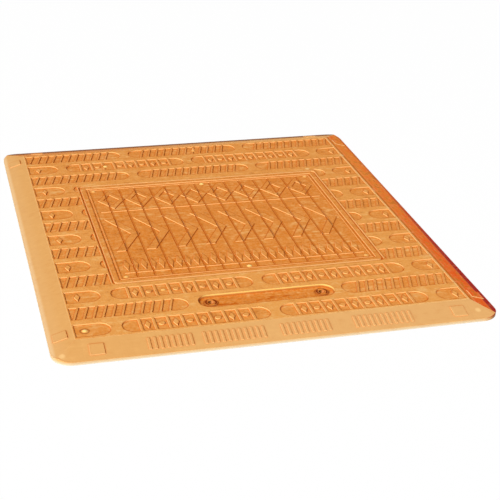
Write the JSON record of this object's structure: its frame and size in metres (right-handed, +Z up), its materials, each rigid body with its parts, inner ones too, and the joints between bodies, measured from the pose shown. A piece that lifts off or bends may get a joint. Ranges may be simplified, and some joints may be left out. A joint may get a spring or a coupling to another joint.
{
  "type": "road plate",
  "caption": "Flat moulded road plate with bevelled edges, a tread of sunk bars, a recessed panel, a slot with bolt holes and a ribbed underside.",
  "frame": {"origin": "middle of the underside", "axes": "+Z up out of the treaded top, +Y from the edge with the slot towards the back, +X along that edge"},
  "size_m": [1.05, 1.2, 0.025],
  "materials": {
    "plate": "matte orange glass-filled moulding, satin where it has been rubbed"
  },
  "bodies": {
    "root": {"plate": "plate"}
  },
  "joints": []
}
